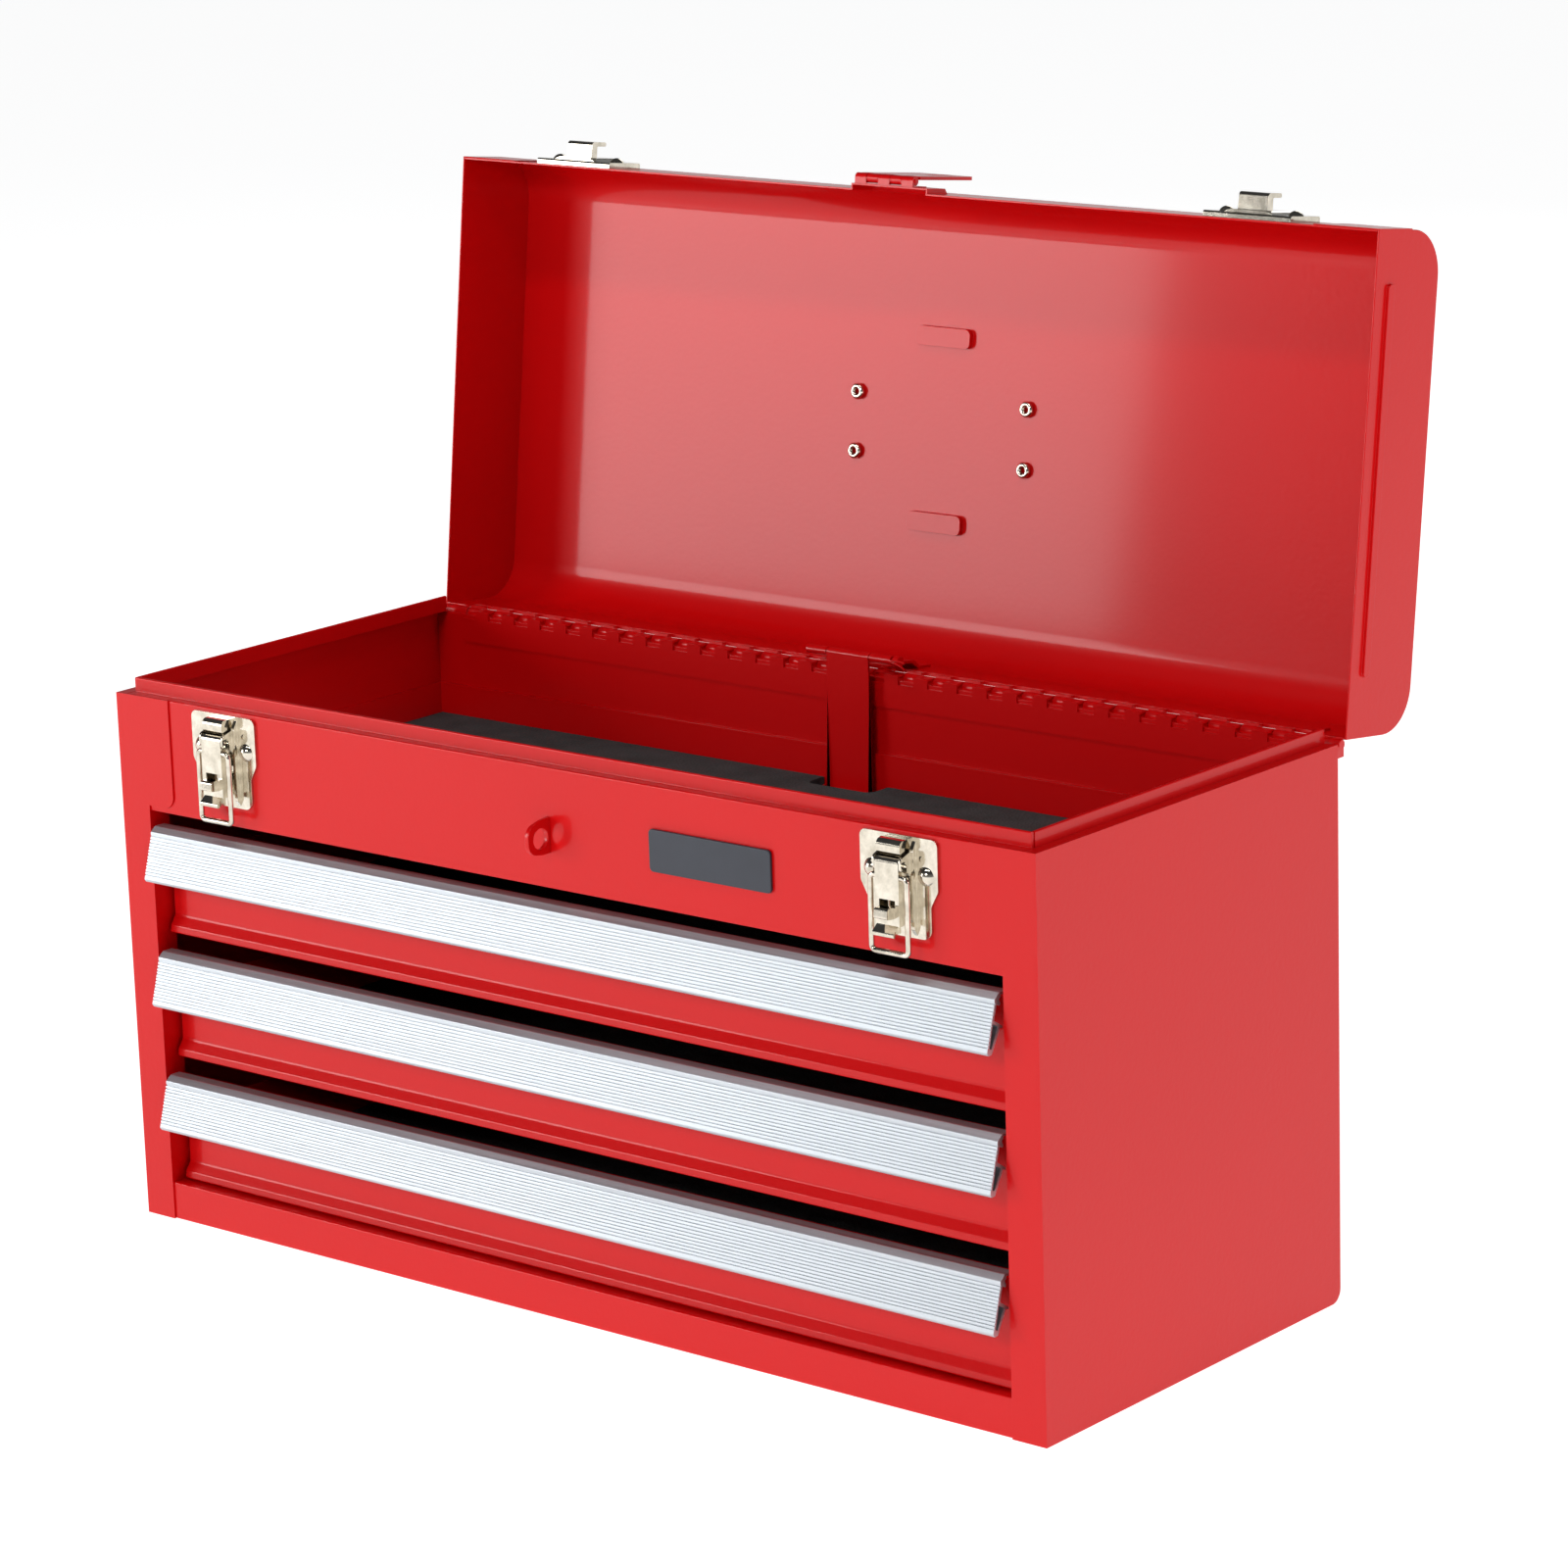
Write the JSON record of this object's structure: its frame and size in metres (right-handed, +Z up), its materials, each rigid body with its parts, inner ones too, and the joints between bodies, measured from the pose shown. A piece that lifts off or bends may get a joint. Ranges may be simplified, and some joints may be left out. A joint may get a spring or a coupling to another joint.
{
  "type": "toolbox with tray",
  "caption": "Portable steel tool chest with an open foam-lined till under a hinged lid, drawers with ribbed pulls, draw latches, padlock hasp and folding carrying handle.",
  "frame": {"origin": "centre of the cabinet's footprint, on the surface that it stands on", "axes": "+X to the right as seen from the front, +Y from front to back, +Z up; stored with the lid open and the drawers shut"},
  "size_m": [0.5198, 0.3032, 0.4692],
  "materials": {
    "red_enamel": "gloss red enamel",
    "nickel_plate": "bright nickel plate",
    "anodised_aluminium": "satin anodised extrusion",
    "black_foam": "fine closed-cell foam",
    "zinc_steel": "bright zinc",
    "badge_plate": "satin dark grey plate",
    "handle_rubber": "moulded grip"
  },
  "bodies": {
    "cabinet": {"side_panel_left": "red_enamel", "side_panel_right": "red_enamel", "front_band": "red_enamel", "base_pan": "red_enamel", "back_panel": "red_enamel", "till_pan": "red_enamel", "till_front_wall": "red_enamel", "till_liner": "black_foam", "cabinet_runners": "zinc_steel", "badge": "badge_plate", "padlock_lug": "red_enamel", "latch_base_left": "nickel_plate", "latch_base_right": "nickel_plate", "latch_rivets": "nickel_plate", "latch_pin_left": "nickel_plate", "latch_pin_right": "nickel_plate", "hinge_leaf_cabinet": "red_enamel", "hinge_pin": "red_enamel"},
    "lid": {"lid_wrap": "red_enamel", "lid_end_left": "red_enamel", "lid_end_right": "red_enamel", "hinge_leaf_lid": "red_enamel", "keeper_left": "nickel_plate", "keeper_right": "nickel_plate", "keeper_rivets": "nickel_plate", "handle_brackets": "nickel_plate", "handle_rivets": "nickel_plate", "hasp_leaf": "red_enamel", "hasp_pin": "red_enamel", "lock_bar_bracket": "red_enamel", "lock_bar_pin": "red_enamel"},
    "hasp": {"hasp_plate": "red_enamel"},
    "handle": {"handle_bail": "nickel_plate", "handle_grip": "handle_rubber"},
    "latch_left": {"latch_lever_left": "nickel_plate"},
    "latch_right": {"latch_lever_right": "nickel_plate"},
    "bail_left": {"latch_bail_left": "nickel_plate"},
    "bail_right": {"latch_bail_right": "nickel_plate"},
    "lock_bar": {"lock_bar": "red_enamel"},
    "drawer_1": {"drawer_1_pan": "red_enamel", "drawer_1_front": "red_enamel", "drawer_1_pull": "anodised_aluminium", "drawer_1_liner": "black_foam", "drawer_1_slides": "zinc_steel"},
    "drawer_2": {"drawer_2_pan": "red_enamel", "drawer_2_front": "red_enamel", "drawer_2_pull": "anodised_aluminium", "drawer_2_liner": "black_foam", "drawer_2_slides": "zinc_steel"},
    "drawer_3": {"drawer_3_pan": "red_enamel", "drawer_3_front": "red_enamel", "drawer_3_pull": "anodised_aluminium", "drawer_3_liner": "black_foam", "drawer_3_slides": "zinc_steel"}
  },
  "joints": [
    {"name": "lid_hinge", "type": "hinge", "parent": "cabinet", "child": "lid", "pos_m": [0, 0.1098, 0.2454], "axis": [1, 0, 0], "range_deg": [0, 97.08]},
    {"name": "lock_bar_hinge", "type": "hinge", "parent": "lid", "child": "lock_bar", "pos_m": [0, 0.10082, 0.25508], "axis": [1, 0, 0], "range_deg": [-97.08, 0]},
    {"name": "hasp_hinge", "type": "hinge", "parent": "lid", "child": "hasp", "pos_m": [0, 0.14113, 0.4636], "axis": [1, 0, 0], "range_deg": [0, 180]},
    {"name": "handle_hinge", "type": "hinge", "parent": "lid", "child": "handle", "pos_m": [0, 0.177, 0.34508], "axis": [1, 0, 0], "range_deg": [-4, 169]},
    {"name": "latch_left_hinge", "type": "hinge", "parent": "cabinet", "child": "latch_left", "pos_m": [-0.1905, -0.1112, 0.2344], "axis": [-1, 0, 0], "range_deg": [0, 120]},
    {"name": "bail_left_hinge", "type": "hinge", "parent": "latch_left", "child": "bail_left", "pos_m": [-0.1905, -0.1125, 0.229], "axis": [1, 0, 0], "range_deg": [-180, 0]},
    {"name": "latch_right_hinge", "type": "hinge", "parent": "cabinet", "child": "latch_right", "pos_m": [0.1905, -0.1112, 0.2344], "axis": [-1, 0, 0], "range_deg": [0, 120]},
    {"name": "bail_right_hinge", "type": "hinge", "parent": "latch_right", "child": "bail_right", "pos_m": [0.1905, -0.1125, 0.229], "axis": [1, 0, 0], "range_deg": [-180, 0]},
    {"name": "drawer_1_slide", "type": "slide", "parent": "cabinet", "child": "drawer_1", "axis": [0, -1, 0], "range_m": [0, 0.15]},
    {"name": "drawer_2_slide", "type": "slide", "parent": "cabinet", "child": "drawer_2", "axis": [0, -1, 0], "range_m": [0, 0.15]},
    {"name": "drawer_3_slide", "type": "slide", "parent": "cabinet", "child": "drawer_3", "axis": [0, -1, 0], "range_m": [0, 0.15]}
  ],
  "couplings": [
    {"joint": "lock_bar_hinge", "follows": "lid_hinge", "ratio": -1}
  ]
}
